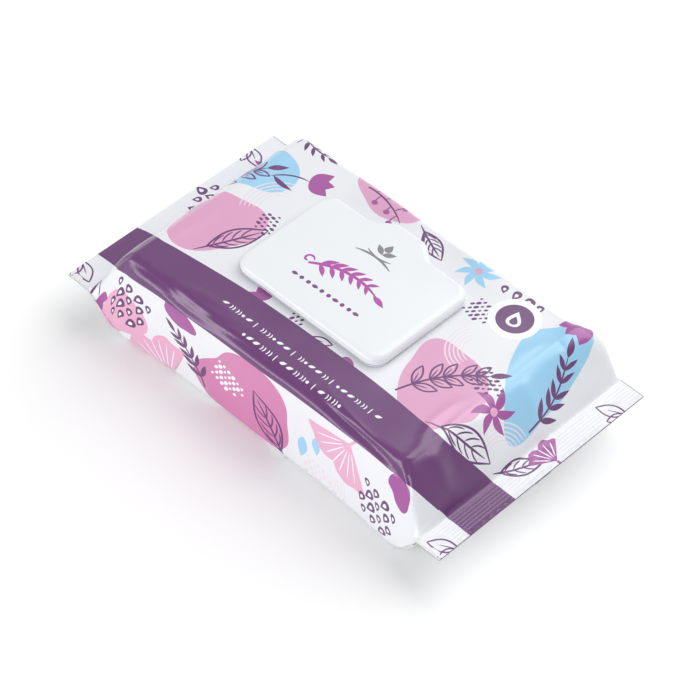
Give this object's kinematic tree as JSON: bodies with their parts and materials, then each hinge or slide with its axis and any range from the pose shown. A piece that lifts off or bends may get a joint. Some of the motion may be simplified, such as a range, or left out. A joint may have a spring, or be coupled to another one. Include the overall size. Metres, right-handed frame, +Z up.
{
  "type": "wet wipes pack",
  "caption": "Flow-wrapped film pack of folded wet wipes with crimped, tucked ends and a hinged flip-top lid over its dispensing hole.",
  "frame": {"origin": "on the floor under the middle of the pack", "axes": "+X along the pack from one end seal to the other, +Y towards the lid's hinge, +Z up"},
  "size_m": [0.225, 0.1258, 0.056],
  "materials": {
    "printed_film": "printed glossy film",
    "moist_nonwoven": "moist nonwoven, white",
    "frame_plastic": "moulded, white",
    "lid_plastic": "moulded, glossy white"
  },
  "bodies": {
    "pack": {"film_wrap": "printed_film", "wipes_stack": "moist_nonwoven", "lid_frame": "frame_plastic"},
    "lid": {"flip_lid": "lid_plastic"}
  },
  "joints": [
    {"name": "lid_hinge", "type": "hinge", "parent": "pack", "child": "lid", "pos_m": [-0.0026, 0.0401, 0.05228], "axis": [-1, 0, 0], "range_deg": [0, 140]}
  ]
}
